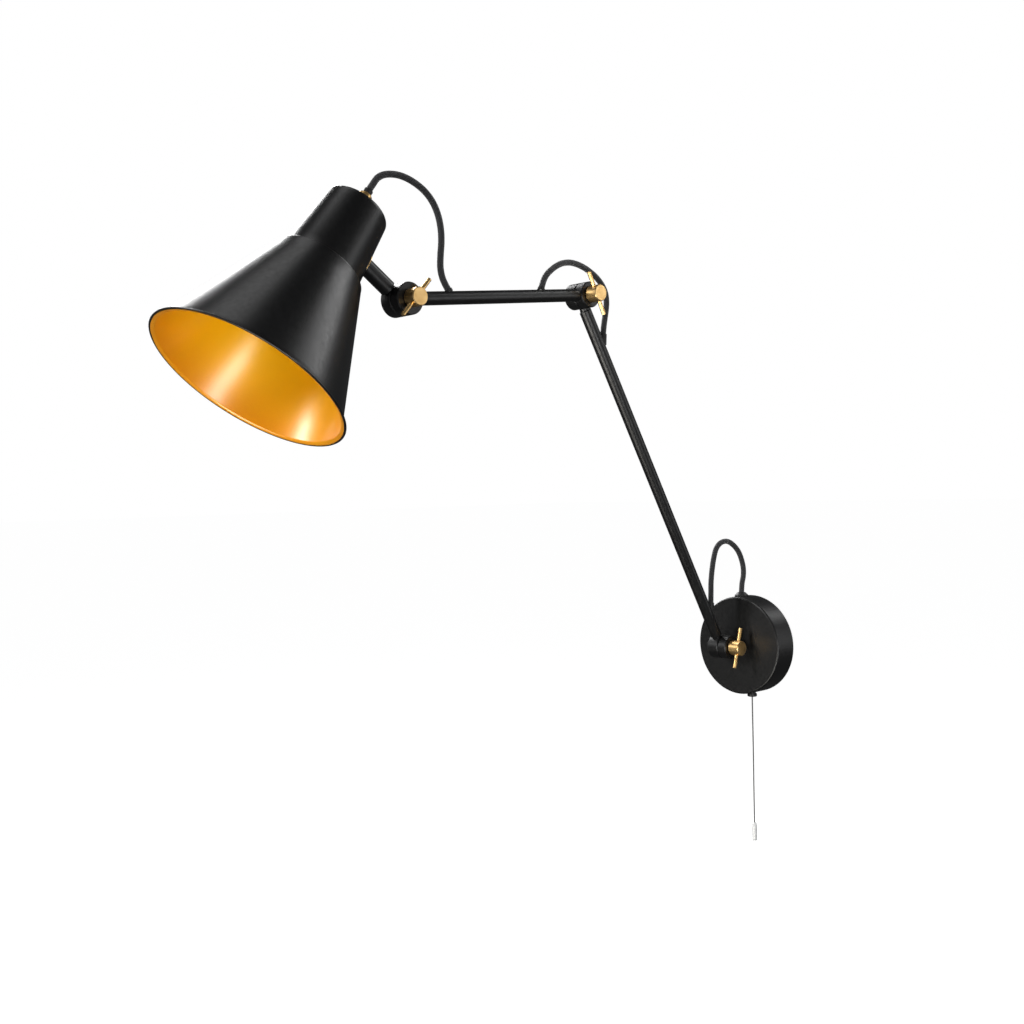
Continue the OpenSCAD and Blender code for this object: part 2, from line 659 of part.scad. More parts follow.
module lampholder() {
    color(plastic) shade_frame() difference() {
        translate([0, 0, -16]) turned(holder_r, 42, 0, 1);
        translate([0, 0, -17]) cylinder(r = socket_r, h = 21);
        translate([0, 0, 3]) cylinder(r = contact_r, h = 7);
        translate([0, 0, 9]) cylinder(r = 4, h = 4);
        translate([0, 0, 12]) cylinder(r = 14, h = 12);
        translate([0, 0, 23]) cylinder(r = 5, h = 4);
    }
}
module lampholder_ring() {
    color(plastic) shade_frame() translate([0, 0, -15]) turned(21.5, 5, holder_r + 0.03, 0.8);
}
module lampholder_contacts() {
    color(ivory) shade_frame() {
        translate([0, 0, 5]) cylinder(r = contact_r - 0.05, h = 4.9);
        translate([0, 0, 4.2]) cylinder(r = 2.5, h = 1.5);
    }
}
module holder_nipple() {
    color(steel) shade_frame() difference() {
        union() {
            translate([0, 0, 21]) cylinder(r = 4.95, h = cap_y + 1.4 - 21);
            translate([0, 0, cap_y - neck_wall - 2.5]) cylinder(r = 8, h = 2.5);
        }
        translate([0, 0, 20]) cylinder(r = flex_r + 0.1, h = 30);
    }
}
module cord_grip() {
    color(brass) shade_frame() translate([0, 0, cap_y]) difference() {
        turned(6, collar_h, 0, 0.5);
        translate([0, 0, -1]) cylinder(r = 5, h = 2.5);
        cylinder(r = flex_r + 0.1, h = collar_h + 1);
    }
}
module flex_relief() {
    color(plastic) shade_frame() translate([0, 0, cap_y + collar_h])
        turned(3.9, relief_h, flex_r + 0.1, 0.4);
}
module flex_in_head() {
    from = 18;
    to = cap_y + collar_h + relief_h - flex_break;
    color(braid) shade_frame() translate([0, 0, from]) cylinder(r = flex_r, h = to - from);
}

// ---- clamp screws -------------------------------------------------------------------------

// each cross bar's own rest angle, from upright towards the wall
base_bar_angle = 16;
elbow_bar_angle = -27;
head_bar_angle = 42;

module base_clamp_screw() { color(brass) at_base() rotate([-base_bar_angle, 0, 0]) clamp_screw(); }
module base_tommy_bar() { color(brass) at_base() rotate([-base_bar_angle, 0, 0]) tommy_bar(); }
module elbow_clamp_screw() { color(brass) at_elbow() rotate([-elbow_bar_angle, 0, 0]) clamp_screw(); }
module elbow_tommy_bar() { color(brass) at_elbow() rotate([-elbow_bar_angle, 0, 0]) tommy_bar(); }
module head_clamp_screw() { color(brass) at_head() rotate([-head_bar_angle, 0, 0]) clamp_screw(); }
module head_tommy_bar() { color(brass) at_head() rotate([-head_bar_angle, 0, 0]) tommy_bar(); }

wall_plate();
wall_cover();
cover_screw();
supply_grommet();
terminal_block();
terminal_screws();
earth_stud();
earth_nut();
flex_gland();
flex_in_box();
stem_bush();
stop_pins();
switch_body();
switch_nut();
switch_spring();
switch_plunger();
pull_cord();
pull_toggle();
base_stem();
stem_tab_washer();
stem_spring_washer();
stem_nut();
base_knuckle();
base_flex_loop_inner();
base_flex_loop_outer();
lower_arm_base_end();
base_friction_washer();
lower_arm_tube();
lower_arm_sleeves();
cores_in_lower_arm();
lower_arm_elbow_end();
elbow_friction_washer();
elbow_flex_loop();
upper_arm_elbow_end();
upper_arm_tube();
upper_arm_sleeves();
cores_in_upper_arm();
upper_arm_head_end();
head_friction_washer();
head_knuckle();
stub_tube();
stub_saddle_washer();
stub_lock_nut();
shade_neck();
shade_cone();
lampholder();
lampholder_ring();
lampholder_contacts();
holder_nipple();
cord_grip();
flex_relief();
flex_in_head();
head_flex_loop();
base_clamp_screw();
base_tommy_bar();
elbow_clamp_screw();
elbow_tommy_bar();
head_clamp_screw();
head_tommy_bar();
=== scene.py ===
"""Looks for the swing arm wall sconce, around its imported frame. Metres; +Y into the wall, +Z up."""
import math

import bpy
from mathutils import Matrix, Vector


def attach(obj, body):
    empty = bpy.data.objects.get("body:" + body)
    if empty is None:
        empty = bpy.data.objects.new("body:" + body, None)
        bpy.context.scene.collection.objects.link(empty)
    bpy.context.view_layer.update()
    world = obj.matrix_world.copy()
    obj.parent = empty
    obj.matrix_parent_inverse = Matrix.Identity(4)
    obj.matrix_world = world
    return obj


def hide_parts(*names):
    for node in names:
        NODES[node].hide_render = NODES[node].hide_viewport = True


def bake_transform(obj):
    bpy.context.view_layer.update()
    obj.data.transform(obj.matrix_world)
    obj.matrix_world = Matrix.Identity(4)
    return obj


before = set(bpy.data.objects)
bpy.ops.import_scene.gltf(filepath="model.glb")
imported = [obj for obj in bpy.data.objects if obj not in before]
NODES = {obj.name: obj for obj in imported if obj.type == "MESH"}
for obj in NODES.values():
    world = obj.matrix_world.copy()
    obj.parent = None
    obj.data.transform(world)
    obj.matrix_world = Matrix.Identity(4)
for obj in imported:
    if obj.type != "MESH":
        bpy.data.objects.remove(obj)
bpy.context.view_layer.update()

scene = bpy.context.scene
MM = 0.001

# ---- sizes shared with the source, in millimetres ------------------------------------------------

STUB_RISE = 36
SHADE_AXIS = (0, 0.588, 0.809)
SHADE_REACH = 76
HEAD_PIVOT = (0, -473.795, 340.735)
CAP_Y = 34
NECK_H = 66
NECK_ROUND = 4.5
NECK_R = 34.2
NECK_TOP_R = 28
CONE_TOP_R = 38.5
MOUTH_R = 85
MOUTH_Z = -148
LIP_W = 4.6
LIP_H = 2.2
BEAD = 0.7
WALL = 1.2
FLEX_D = 5.8
PULL_D = 1.4

TOGGLE_FOOT = (8, -13.75, -217)
FLOOR_Z = -0.62
FLOOR_HALF = 40
ROUTE_STEPS = 6

# the cords' routes, point by point as in the source
BASE_ROUTE = [
    (-4, -13.75, 57.2), (-4, -12.5, 67), (-3.5, -10.5, 76), (-3.5, -10.5, 85), (-4, -13, 94.5),
    (-4.5, -18, 103.5), (-5.5, -26, 111), (-6.5, -35.5, 115), (-7.5, -45, 113.5), (-8.5, -51.5, 107.5),
    (-9, -55.5, 97), (-9.5, -58, 85), (-10, -59.5, 72), (-10, -60.1, 60), (-10, -60.6, 49.4)]
BASE_ROUTE_SPLIT = 7
ELBOW_ROUTE = [
    (-10, -222.4, 329.6), (-10.2, -221, 337), (-10.5, -219, 345), (-10.8, -216.8, 353.5),
    (-11, -215.6, 362), (-10.7, -217.3, 370.5), (-9.9, -223, 378), (-8.8, -231.5, 384),
    (-7.4, -241, 388), (-6, -251.5, 391.3), (-4, -265, 393.3), (-2.4, -277.5, 393),
    (-1, -290, 389.8), (-0.3, -301.5, 383.5), (0, -310.5, 375.5), (0, -315.7, 364.8)]
HEAD_ROUTE = [
    (0, -428.6, 352.9), (-0.5, -433.6, 361.5), (-1, -435.6, 371), (-1.2, -435, 382),
    (-1.2, -433.8, 393), (-1.4, -433.8, 404), (-1.7, -436, 415.5), (-2.2, -440.8, 426),
    (-3, -448, 434.3), (-4, -457, 440.3), (-5.2, -467.5, 444.5), (-6.5, -477.5, 446),
    (-7.8, -487.5, 444.8), (-8.9, -494.6, 441.1), (-9.8, -499.4, 434.8), (-10, -503.4, 429.4)]
PULL_ROUTE = [
    (8, -13.75, -52), (8, -13.75, -70), (8.1, -13.75, -95), (8.2, -13.8, -120),
    (8.1, -13.8, -145), (8, -13.75, -170), (8, -13.75, -197)]


def metres(points):
    return [Vector(p) * MM for p in points]


# ---- camera --------------------------------------------------------------------------------------

CAMERA_AT = (0.81204, -1.0984, 0.18003)
yaw, pitch, roll = math.radians(47.682), math.radians(-1.199), math.radians(-1.278)
ahead = Vector((-math.sin(yaw) * math.cos(pitch), math.cos(yaw) * math.cos(pitch), math.sin(pitch)))
level = Vector((math.cos(yaw), math.sin(yaw), 0))
above = level.cross(ahead)
cam_x = level * math.cos(roll) + above * math.sin(roll)
cam_y = above * math.cos(roll) - level * math.sin(roll)
camera = bpy.data.objects.new("camera", bpy.data.cameras.new("camera"))
scene.collection.objects.link(camera)
turned = Matrix((cam_x, cam_y, -ahead)).transposed().to_4x4()
camera.matrix_world = Matrix.Translation(CAMERA_AT) @ turned
camera.data.sensor_width = 36
camera.data.lens = 42.32
camera.data.clip_start = 0.05
camera.data.clip_end = 100
scene.camera = camera
scene.view_settings.view_transform = "Standard"

# ---- material helpers ----------------------------------------------------------------------------


class Mat:
    """A material with one Principled shader and short calls for the nodes that feed it."""

    def __init__(self, name, **values):
        self.mat = bpy.data.materials.new(name)
        self.mat.use_nodes = True
        self.tree = self.mat.node_tree
        self.shader = self.tree.nodes["Principled BSDF"]
        for key, value in values.items():
            self.shader.inputs[key.replace("_", " ")].default_value = value

    def put(self, node, socket, value):
        if isinstance(value, bpy.types.NodeSocket):
            self.tree.links.new(value, node.inputs[socket])
        elif value is not None:
            node.inputs[socket].default_value = value

    def coords(self, output="Object"):
        return self.tree.nodes.new("ShaderNodeTexCoord").outputs[output]

    def uv(self):
        node = self.tree.nodes.new("ShaderNodeSeparateXYZ")
        self.put(node, 0, self.coords("UV"))
        return node.outputs[0], node.outputs[1]

    def math(self, op, a, b=None, c=None, clamp=False):
        node = self.tree.nodes.new("ShaderNodeMath")
        node.operation = op
        node.use_clamp = clamp
        self.put(node, 0, a)
        self.put(node, 1, b)
        self.put(node, 2, c)
        return node.outputs[0]

    def noise(self, scale, detail=2.0, rough=0.5, vector=None):
        node = self.tree.nodes.new("ShaderNodeTexNoise")
        self.put(node, "Vector", vector or self.coords())
        self.put(node, "Scale", scale)
        self.put(node, "Detail", detail)
        self.put(node, "Roughness", rough)
        return node.outputs["Fac"]

    def stretch(self, x, y, z):
        node = self.tree.nodes.new("ShaderNodeMapping")
        self.put(node, "Vector", self.coords())
        self.put(node, "Scale", (x, y, z))
        return node.outputs[0]

    def range(self, value, lo, hi, to_lo, to_hi):
        node = self.tree.nodes.new("ShaderNodeMapRange")
        sockets = ("Value", "From Min", "From Max", "To Min", "To Max")
        for key, v in zip(sockets, (value, lo, hi, to_lo, to_hi)):
            self.put(node, key, v)
        return node.outputs[0]

    def mix(self, factor, a, b):
        node = self.tree.nodes.new("ShaderNodeMix")
        node.data_type = "RGBA"
        self.put(node, 0, factor)
        for index, colour in ((6, a), (7, b)):
            self.put(node, index, colour if isinstance(colour, bpy.types.NodeSocket) else (*colour, 1))
        return node.outputs[2]

    def bump(self, height, strength, distance, normal=None):
        node = self.tree.nodes.new("ShaderNodeBump")
        self.put(node, "Height", height)
        self.put(node, "Strength", strength)
        self.put(node, "Distance", distance)
        self.put(node, "Normal", normal)
        return node.outputs[0]

    def edge(self, radius):
        """0 on flat stretches, up to 1 along sharp edges."""
        bevel = self.tree.nodes.new("ShaderNodeBevel")
        bevel.samples = 4
        self.put(bevel, "Radius", radius)
        turn = self.tree.nodes.new("ShaderNodeVectorMath")
        turn.operation = "DOT_PRODUCT"
        self.put(turn, 0, bevel.outputs[0])
        self.put(turn, 1, self.tree.nodes.new("ShaderNodeNewGeometry").outputs["Normal"])
        return self.range(turn.outputs["Value"], 0.97, 0.80, 0, 1)

    def to(self, socket, value):
        self.put(self.shader, socket, value)
        return self


def powder_coat(name, grain=1500, low=0.34, high=0.44):
    """Satin black powder coat: a fine orange peel, faint cloudiness, and edges painted a little brighter in
    patches, partly a painted edge highlight and partly rubbed wear.
    """
    m = Mat(name, IOR=1.5, Coat_Weight=0.0)
    cloud = m.noise(24, 3)
    peel = m.noise(grain, 3, 0.6)
    # edges painted lighter in noisy patches: partly a painted edge highlight, partly rubbed wear
    edge_highlight_and_wear = m.math("MULTIPLY", m.edge(0.0007), m.range(m.noise(160, 3), 0.4, 0.65, 0.15, 0.7))
    body = m.mix(m.range(cloud, 0.35, 0.65, 0, 1), (0.0035, 0.0035, 0.0038), (0.0055, 0.0055, 0.0058))
    m.to("Base Color", m.mix(edge_highlight_and_wear, body, (0.035, 0.035, 0.036)))
    rough = m.range(m.noise(320, 3), 0.3, 0.7, low, high)
    m.to("Roughness", m.math("SUBTRACT", rough, m.math("MULTIPLY", edge_highlight_and_wear, 0.08)))
    m.to("Normal", m.bump(peel, 0.07, 0.00010, m.bump(m.noise(95, 2), 0.03, 0.0005)))
    return m.mat


def satin_brass(name, lines_along="X"):
    """Satin turned brass: fine rings around the turning axis, a little tarnish, and a painted highlight that
    lightens the edges.
    """
    m = Mat(name, Metallic=1.0)
    scale = {"X": (1, 0.02, 0.02), "Z": (0.02, 0.02, 1)}[lines_along]
    rings = m.noise(5200, 2, 0.7, m.stretch(*scale))
    cloud = m.noise(120, 3)
    base = m.mix(m.range(cloud, 0.35, 0.7, 0, 1), (0.92, 0.62, 0.27), (0.82, 0.52, 0.20))
    # painted highlight: the edges are mixed toward pale brass
    m.to("Base Color", m.mix(m.math("MULTIPLY", m.edge(0.0005), 0.6), base, (1.0, 0.80, 0.50)))
    uneven = m.math("ADD", m.math("MULTIPLY", rings, 0.6), m.math("MULTIPLY", cloud, 0.4))
    m.to("Roughness", m.range(uneven, 0.3, 0.7, 0.30, 0.44))
    m.to("Normal", m.bump(rings, 0.12, 0.00006))
    return m.mat


def plated_steel(name):
    m = Mat(name, Metallic=1.0)
    cloud = m.noise(140, 4)
    m.to("Base Color", m.mix(m.range(cloud, 0.3, 0.7, 0, 1), (0.62, 0.62, 0.60), (0.47, 0.48, 0.49)))
    m.to("Roughness", m.range(m.noise(900, 3), 0.3, 0.7, 0.30, 0.46))
    m.to("Normal", m.bump(m.noise(2400, 2, 0.6, m.stretch(1, 0.1, 0.1)), 0.12, 0.00006))
    return m.mat


def moulded(name, dark, light, low, high, grain=2200, grip=0.14):
    """Moulded plastic or rubber with a fine spark-eroded grain."""
    m = Mat(name, IOR=1.46)
    m.to("Base Color", m.mix(m.range(m.noise(60, 3), 0.35, 0.65, 0, 1), dark, light))
    m.to("Roughness", m.range(m.noise(grain / 2, 3), 0.3, 0.7, low, high))
    m.to("Normal", m.bump(m.noise(grain, 3, 0.6), grip, 0.00012))
    return m.mat


def braid(name, carriers, pitch, black, grey, thread):
    """A plaited textile sleeve, laid out along the tube's own UV: metres along, one turn around."""
    m = Mat(name, IOR=1.45, Sheen_Weight=0.35, Sheen_Roughness=0.45)
    along, around = m.uv()
    turns = m.math("MULTIPLY", around, carriers)
    run = m.math("DIVIDE", along, pitch)
    right, left = m.math("ADD", run, turns), m.math("SUBTRACT", run, turns)
    # which of the two strands lies on top in this cell
    cell = m.math("ADD", m.math("FLOOR", right), m.math("FLOOR", left))
    over = m.math("ROUND", m.math("MODULO", m.math("ABSOLUTE", cell), 2.0))
    fr, fl = m.math("FRACT", right), m.math("FRACT", left)

    def crown(across, lengthways):
        wide = m.math("POWER", m.math("SINE", m.math("MULTIPLY", across, math.pi)), 0.6)
        arch = m.math("SINE", m.math("MULTIPLY", lengthways, math.pi))
        high = m.math("ADD", m.math("MULTIPLY", arch, 0.45), 0.55)
        return m.math("MULTIPLY", wide, high)

    def threads(across, other):
        slant = m.math("ADD", across, m.math("MULTIPLY", other, 0.08))
        return m.math("SINE", m.math("MULTIPLY", slant, math.pi * 8))

    node = m.tree.nodes.new("ShaderNodeMix")
    m.put(node, 0, over)
    m.put(node, 2, crown(fr, fl))
    m.put(node, 3, crown(fl, fr))
    height = node.outputs[0]
    fine = m.tree.nodes.new("ShaderNodeMix")
    m.put(fine, 0, over)
    m.put(fine, 2, threads(fr, fl))
    m.put(fine, 3, threads(fl, fr))
    height_all = m.math("ADD", height, m.math("MULTIPLY", fine.outputs[0], 0.07))
    fuzz = m.noise(thread, 3, 0.7)
    # painted shade: strand crowns painted grey and the dips between strands painted black, by height, mixed
    # with random flecks
    painted_crown_light = m.range(height, 0.25, 0.95, 0.0, 1.0)
    painted_shade_and_fleck = m.math("MULTIPLY", painted_crown_light, m.range(fuzz, 0.35, 0.62, 0.35, 1.0), clamp=True)
    m.to("Base Color", m.mix(painted_shade_and_fleck, black, grey))
    m.to("Roughness", m.range(height, 0.2, 0.95, 0.85, 0.58))
    m.to("Normal", m.bump(height_all, 0.75, 0.00035))
    return m.mat


def gold_enamel(name):
    """Gold lacquer sprayed inside the shade: fine flake under a soft coat, with painted shading that makes it
    darker and redder toward the rim and brighter yellow deeper in.
    """
    m = Mat(name, Metallic=0.22, Specular_IOR_Level=0.1, Coat_Weight=1.0, Coat_Roughness=0.29, Coat_IOR=1.6)
    cloud = m.noise(14, 3)
    flake = m.noise(2600, 2, 0.6)
    depth = m.tree.nodes.new("ShaderNodeVectorMath")
    depth.operation = "DOT_PRODUCT"
    m.put(depth, 0, m.coords())
    m.put(depth, 1, SHADE_AXIS)
    # painted shade: the colour runs from dark orange at the rim to bright yellow deep in the cone, standing
    # in for how light falls inside it
    painted_depth_shade = m.range(depth.outputs["Value"], -0.155, -0.065, -0.1, 0.9)
    painted_shade_and_cloud = m.math("ADD", painted_depth_shade, m.math("MULTIPLY", cloud, 0.2))
    base = m.mix(painted_shade_and_cloud, (0.76, 0.25, 0.0002), (1.0, 0.70, 0.0002))
    m.to("Base Color", m.mix(m.range(flake, 0.45, 0.75, 0, 0.35), base, (1.0, 0.62, 0.0005)))
    m.to("Roughness", m.range(flake, 0.3, 0.7, 0.42, 0.54))
    m.to("Normal", m.bump(flake, 0.08, 0.00008, m.bump(m.noise(40, 2), 0.04, 0.001)))
    return m.mat


def toggle_plastic(name):
    m = Mat(name, IOR=1.49, Transmission_Weight=0.05, Coat_Weight=0.3, Coat_Roughness=0.1)
    cloud = m.range(m.noise(180, 3), 0.3, 0.7, 0, 1)
    m.to("Base Color", m.mix(cloud, (0.93, 0.94, 0.94), (0.86, 0.87, 0.87)))
    m.to("Roughness", m.range(m.noise(700, 2), 0.3, 0.7, 0.20, 0.34))
    m.to("Normal", m.bump(m.noise(500, 2), 0.08, 0.0001))
    return m.mat


BLACK = powder_coat("powder_coat_black")
SHADE_BLACK = powder_coat("shade_coat_black", 1300, 0.30, 0.38)
RIM = powder_coat("shade_rim_black", 1300, 0.30, 0.40)
GOLD = gold_enamel("gold_enamel")
BRASS = satin_brass("brass_turned_x")
BRASS_Z = satin_brass("brass_turned_z", "Z")
STEEL = plated_steel("zinc_plated_steel")
RUBBER = moulded("black_rubber", (0.010, 0.010, 0.010), (0.018, 0.018, 0.018), 0.50, 0.66)
PLASTIC = moulded("black_plastic", (0.011, 0.011, 0.012), (0.019, 0.019, 0.020), 0.42, 0.56)
IVORY = moulded("white_plastic", (0.70, 0.68, 0.62), (0.80, 0.79, 0.75), 0.38, 0.52, 1600, 0.06)
CERAMIC = moulded("glazed_contact_base", (0.72, 0.69, 0.60), (0.82, 0.80, 0.73), 0.30, 0.5, 1200, 0.06)
BRAID = braid("black_braid", 12, 0.0021, (0.006, 0.006, 0.0065), (0.060, 0.061, 0.066), 3200)
PULL_BRAID = braid("grey_cord_braid", 6, 0.0011, (0.045, 0.044, 0.043), (0.20, 0.195, 0.19), 5200)
TOGGLE = toggle_plastic("toggle_plastic")

# ---- shape helpers -------------------------------------------------------------------------------


def add_piece(name, vertices, faces, materials, face_material=None, uvs=None):
    mesh = bpy.data.meshes.new(name)
    mesh.from_pydata([tuple(v) for v in vertices], [], faces)
    for mat in materials:
        mesh.materials.append(mat)
    for i, polygon in enumerate(mesh.polygons):
        polygon.use_smooth = True
        if face_material:
            polygon.material_index = face_material[i]
    if uvs:
        layer = mesh.uv_layers.new(name="along")
        for i, polygon in enumerate(mesh.polygons):
            for corner, loop in enumerate(polygon.loop_indices):
                layer.data[loop].uv = uvs[i][corner]
    mesh.validate()
    mesh.update()
    piece = bpy.data.objects.new(name, mesh)
    scene.collection.objects.link(piece)
    return piece


def smooth_route(points, steps):
    """The same curve as the source sweeps its cords along, in finer steps."""
    out = []
    for i in range(len(points) - 1):
        a, b = points[max(i - 1, 0)], points[i]
        c, d = points[i + 1], points[min(i + 2, len(points) - 1)]
        for k in range(steps):
            t = k / steps
            square = (2 * a - 5 * b + 4 * c - d) * t ** 2
            cube = (3 * b - a - 3 * c + d) * t ** 3
            out.append(0.5 * (2 * b + (c - a) * t + square + cube))
    return out + [points[-1]]


def tube(name, line, radius, sides, material):
    """A tube swept along line, with UV in metres along and one turn around, its ends closed."""
    vertices, marks = [], []
    normal = Vector((1, 0, 0))
    length = 0.0
    for i, p in enumerate(line):
        t = (line[min(i + 1, len(line) - 1)] - line[max(i - 1, 0)]).normalized()
        normal = (normal - t * normal.dot(t)).normalized()
        across = t.cross(normal)
        if i:
            length += (p - line[i - 1]).length
        marks.append(length)
        for k in range(sides):
            turn = 2 * math.pi * k / sides
            vertices.append(p + (normal * math.cos(turn) + across * math.sin(turn)) * radius)
    faces, uvs = [], []
    for i in range(len(line) - 1):
        for k in range(sides):
            row, after, beside = i * sides, (i + 1) * sides, (k + 1) % sides
            faces.append((row + k, row + beside, after + beside, after + k))
            uvs.append(((marks[i], k / sides), (marks[i], (k + 1) / sides),
                        (marks[i + 1], (k + 1) / sides), (marks[i + 1], k / sides)))
    for start, mark, order in ((0, marks[0], range(sides - 1, -1, -1)),
                               ((len(line) - 1) * sides, marks[-1], range(sides))):
        faces.append(tuple(start + k for k in order))
        uvs.append(tuple((mark, k / sides) for k in order))
    return add_piece(name, vertices, faces, [material], None, uvs)


def lathe(name, profile, sides, materials, zones, place, closed=True):
    """Turns profile (radius, height) around Z; a closed profile makes one closed wall."""
    vertices, faces, face_material = [], [], []
    count = len(profile)
    index = []
    for r, z in profile:
        if r < 1e-9:
            index.append([len(vertices)] * sides)
            vertices.append(place @ Vector((0, 0, z)))
        else:
            index.append([len(vertices) + k for k in range(sides)])
            for k in range(sides):
                turn = 2 * math.pi * k / sides
                vertices.append(place @ Vector((r * math.cos(turn), r * math.sin(turn), z)))
    for i in range(count if closed else count - 1):
        j = (i + 1) % count
        for k in range(sides):
            n = (k + 1) % sides
            corners = []
            for v in (index[i][k], index[i][n], index[j][n], index[j][k]):
                if v not in corners:
                    corners.append(v)
            if len(corners) > 2:
                faces.append(tuple(corners))
                face_material.append(zones[i] if zones else 0)
    return add_piece(name, vertices, faces, materials, face_material)


def arc(cx, cz, r, from_deg, to_deg, steps):
    """Points (radius, height) on an arc around (cx, cz)."""
    turns = [math.radians(from_deg + (to_deg - from_deg) * i / steps) for i in range(steps + 1)]
    return [(cx + r * math.cos(a), cz + r * math.sin(a)) for a in turns]


def mark_sharp(piece, degrees):
    """Smooth shading with hard edges where faces meet at more than this angle."""
    bpy.context.view_layer.objects.active = piece
    piece.data.set_sharp_from_angle(angle=math.radians(degrees))


# ---- cords ---------------------------------------------------------------------------------------

base_line = smooth_route(metres(BASE_ROUTE), ROUTE_STEPS)
cut = BASE_ROUTE_SPLIT * ROUTE_STEPS
inner_line, outer_line = base_line[: cut + 1], base_line[cut:]
elbow_line = smooth_route(metres(ELBOW_ROUTE), ROUTE_STEPS)
head_line = smooth_route(metres(HEAD_ROUTE), ROUTE_STEPS)
pull_line = smooth_route(metres(PULL_ROUTE), ROUTE_STEPS)


def flex_piece(name, line, node):
    piece = tube(name, line, FLEX_D / 2 * MM, 24, BRAID)
    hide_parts(node)
    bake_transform(piece)
    return piece


flex_piece("base_loop_wall_half", inner_line, "base_flex_loop_inner")
flex_piece("base_loop_arm_half", outer_line, "base_flex_loop_outer")
flex_piece("elbow_loop", elbow_line, "elbow_flex_loop")
flex_piece("head_loop", head_line, "head_flex_loop")

pull = tube("pull_cord_line", pull_line, PULL_D / 2 * MM, 12, PULL_BRAID)
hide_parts("pull_cord")
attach(pull, "pull_switch")

# the toggle: a straight bell, rounded in at its top, with a hollow at its foot
toggle_at = Matrix.Translation(Vector(TOGGLE_FOOT) * MM)
bell = [
    (0.0, 2.2), (1.3, 2.0), (1.6, 0.6), (1.9, 0.0), (2.35, 0.1), (2.65, 0.7), (2.7, 1.6), (2.7, 4.0),
    (2.7, 9.0), (2.68, 14.5), (2.58, 16.6), (2.3, 18.3), (1.9, 19.4), (1.35, 19.9), (0.75, 20.0), (0.0, 20.0)]
bell = [(r * MM, z * MM) for r, z in bell]
toggle = lathe("toggle_bell", bell, 48, [TOGGLE], None, toggle_at, closed=False)
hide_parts("pull_toggle")
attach(toggle, "pull_switch")

# ---- shade ---------------------------------------------------------------------------------------

rise = math.radians(STUB_RISE)
out = Vector((0, -math.cos(rise), math.sin(rise)))
cap_way = Vector((0, math.sin(rise), math.cos(rise)))
shade_zero = (Vector(HEAD_PIVOT) + Vector((-10, 0, 0)) + out * SHADE_REACH) * MM
shade_turn = Matrix((Vector((1, 0, 0)), -out, cap_way)).transposed().to_4x4()
shade_place = Matrix.Translation(shade_zero) @ shade_turn


def shade_profile():
    """(radius, height) points and the material of the stretch after each: 0 coat, 1 rim, 2 gold."""
    points, zones = [], []

    def add(pts, zone):
        for p in pts:
            points.append((p[0] * MM, p[1] * MM))
            zones.append(zone)

    def neck_at(z):
        return NECK_TOP_R + (NECK_R - NECK_TOP_R) * (CAP_Y - z) / NECK_H

    def down_cone(start, end, steps):
        return [(start[0] + (end[0] - start[0]) * t, start[1] + (end[1] - start[1]) * t) for t in steps]

    taper = math.atan((NECK_R - NECK_TOP_R) / NECK_H)
    taper_deg = math.degrees(taper)
    round_z = CAP_Y - NECK_ROUND
    round_x = neck_at(round_z + NECK_ROUND * math.sin(taper)) - NECK_ROUND * math.cos(taper)
    shoulder = CAP_Y - NECK_H
    lip_mid = MOUTH_R - BEAD
    add([(5.1, CAP_Y - 0.9), (5.1, CAP_Y - 0.2), (5.3, CAP_Y)], 0)
    add(arc(round_x, round_z, NECK_ROUND, 90, taper_deg, 12), 0)
    add([(neck_at(z), z) for z in (24, 12, 0, -12, -24, -31.2)], 0)
    add([(34.3, shoulder + 0.3), (34.7, shoulder + 0.05), (35.8, shoulder),
         (37.2, shoulder), (38.0, shoulder - 0.2), (38.4, shoulder - 0.7)], 0)
    add(down_cone((CONE_TOP_R, shoulder - 1.3), (lip_mid - LIP_W + BEAD, MOUTH_Z + 2 * BEAD + LIP_H),
                  (0, 0.1, 0.2, 0.3, 0.4, 0.5, 0.6, 0.7, 0.8, 0.9, 0.97)), 0)
    add([(lip_mid - (LIP_W - BEAD) * math.cos(a), MOUTH_Z + 2 * BEAD + LIP_H * (1 - math.sin(a)))
         for a in (math.radians(k) for k in range(0, 90, 15))], 0)
    add(arc(lip_mid, MOUTH_Z + BEAD, BEAD, 90, -90, 10), 1)
    add([(lip_mid - LIP_W * math.cos(a), MOUTH_Z + LIP_H * (1 - math.sin(a)))
         for a in (math.radians(k) for k in range(75, 14, -15))], 2)
    add(down_cone((lip_mid - LIP_W, MOUTH_Z + LIP_H), (CONE_TOP_R - 1.4, shoulder - 2.2),
                  (0, 0.1, 0.2, 0.3, 0.4, 0.5, 0.6, 0.7, 0.8, 0.9, 0.98)), 2)
    add([(36.6, -33.6), (36.1, shoulder - WALL), (33.4, shoulder - WALL), (33.0, -32.8)], 2)
    add([(neck_at(z) - WALL, z) for z in (-31, -12, 8, 26)], 2)
    add(arc(round_x, round_z, NECK_ROUND - WALL, taper_deg, 90, 8), 2)
    add([(8, CAP_Y - WALL)], 2)
    return points, zones


profile, zones = shade_profile()
shade = lathe("spun_shade", profile, 160, [SHADE_BLACK, RIM, GOLD], zones, shade_place)
mark_sharp(shade, 50)
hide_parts("shade_neck", "shade_cone")
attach(shade, "head")

# ---- materials of the CAD nodes ------------------------------------------------------------------

